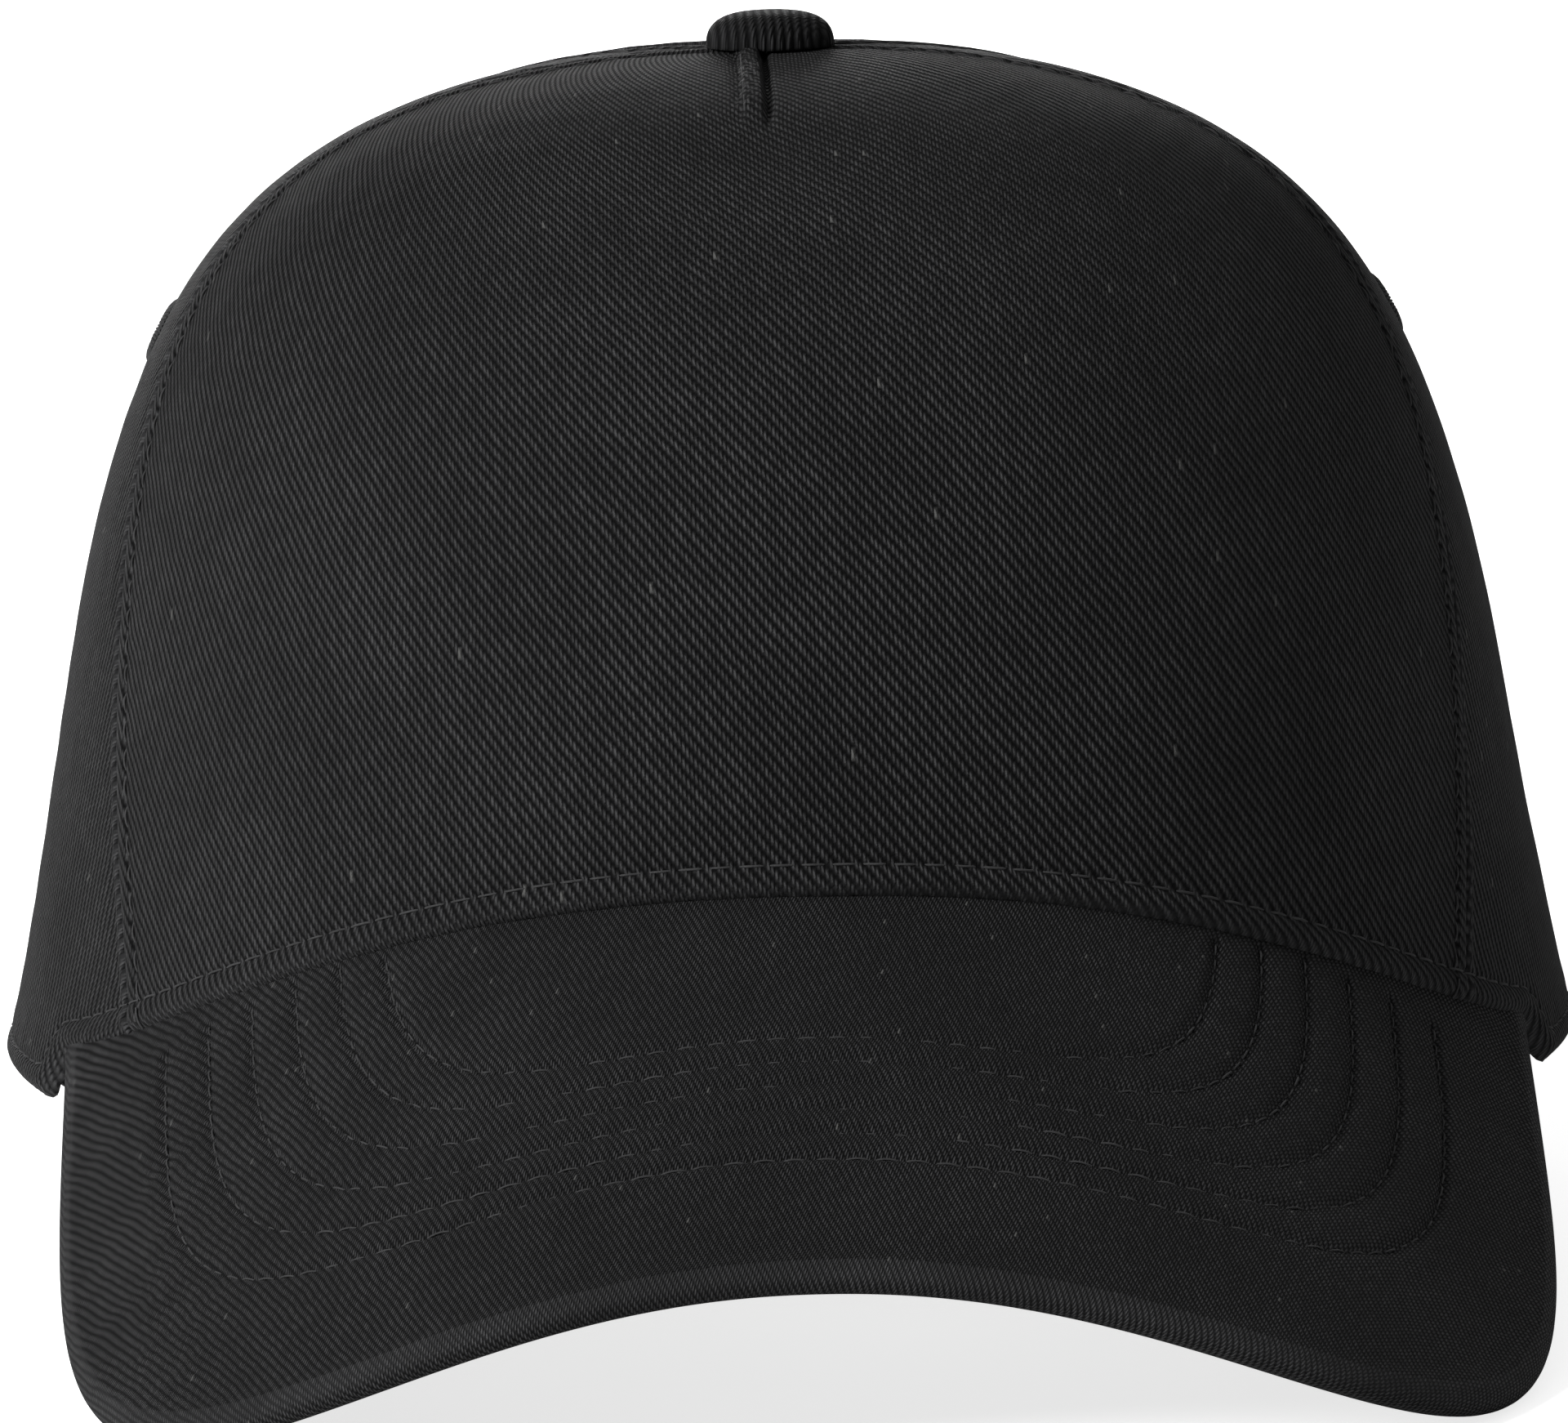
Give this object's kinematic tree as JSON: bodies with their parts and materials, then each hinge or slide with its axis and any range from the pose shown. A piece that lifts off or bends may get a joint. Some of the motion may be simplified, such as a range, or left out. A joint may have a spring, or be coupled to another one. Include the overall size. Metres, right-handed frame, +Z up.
{
  "type": "baseball cap",
  "caption": "Sewn cloth cap with a rounded stiffened crown, a curved stitched visor and a back strap with a flip clasp; worn on the head to shade the eyes.",
  "frame": {"origin": "middle of the rim's oval at the level of the side and back rim, where the head enters", "axes": "+Z up towards the button, the visor points along -Y, +X is the side on which the strap's clasp is"},
  "size_m": [0.189, 0.2587, 0.1464],
  "materials": {
    "twill": "black cotton twill, matt",
    "buckram": "stiff open gauze, black",
    "tape": "plain woven cotton tape, black",
    "thread": "polyester thread, satin black",
    "sweat_cloth": "soft cotton twill, matt black",
    "foam": "thin non-woven padding",
    "label": "woven satin, blank",
    "board": "polyethylene sheet",
    "plated_steel": "zinc plated",
    "clasp_metal": "black nickel, satin"
  },
  "bodies": {
    "cap": {"front_panel": "twill", "side_panel_left": "twill", "side_panel_right": "twill", "back_panel_left": "twill", "back_panel_right": "twill", "front_backing": "buckram", "front_tape_left": "tape", "front_tape_right": "tape", "side_tape_left": "tape", "side_tape_right": "tape", "back_tape": "tape", "eyelets": "thread", "button_cover": "twill", "button_shell": "plated_steel", "button_plate": "plated_steel", "button_tack": "plated_steel", "sweatband": "sweat_cloth", "sweatband_foam": "foam", "care_label": "label", "opening_binding": "tape", "visor_top_cover": "twill", "visor_board": "board", "visor_under_cover": "twill", "clasp_loop": "twill", "clasp_frame": "clasp_metal", "clasp_pin": "clasp_metal"},
    "strap": {"closure_strap": "twill"},
    "lever": {"clasp_lever": "clasp_metal"}
  },
  "joints": [
    {"name": "strap_adjust", "type": "hinge", "parent": "cap", "child": "strap", "pos_m": [0, 0, 0], "axis": [0, 0, 1], "range_deg": [-8, 6]},
    {"name": "lever_flip", "type": "hinge", "parent": "cap", "child": "lever", "pos_m": [0.02755, 0.08658, 0.01549], "axis": [0.0485, 0.1811, -0.9823], "range_deg": [0, 100]}
  ]
}
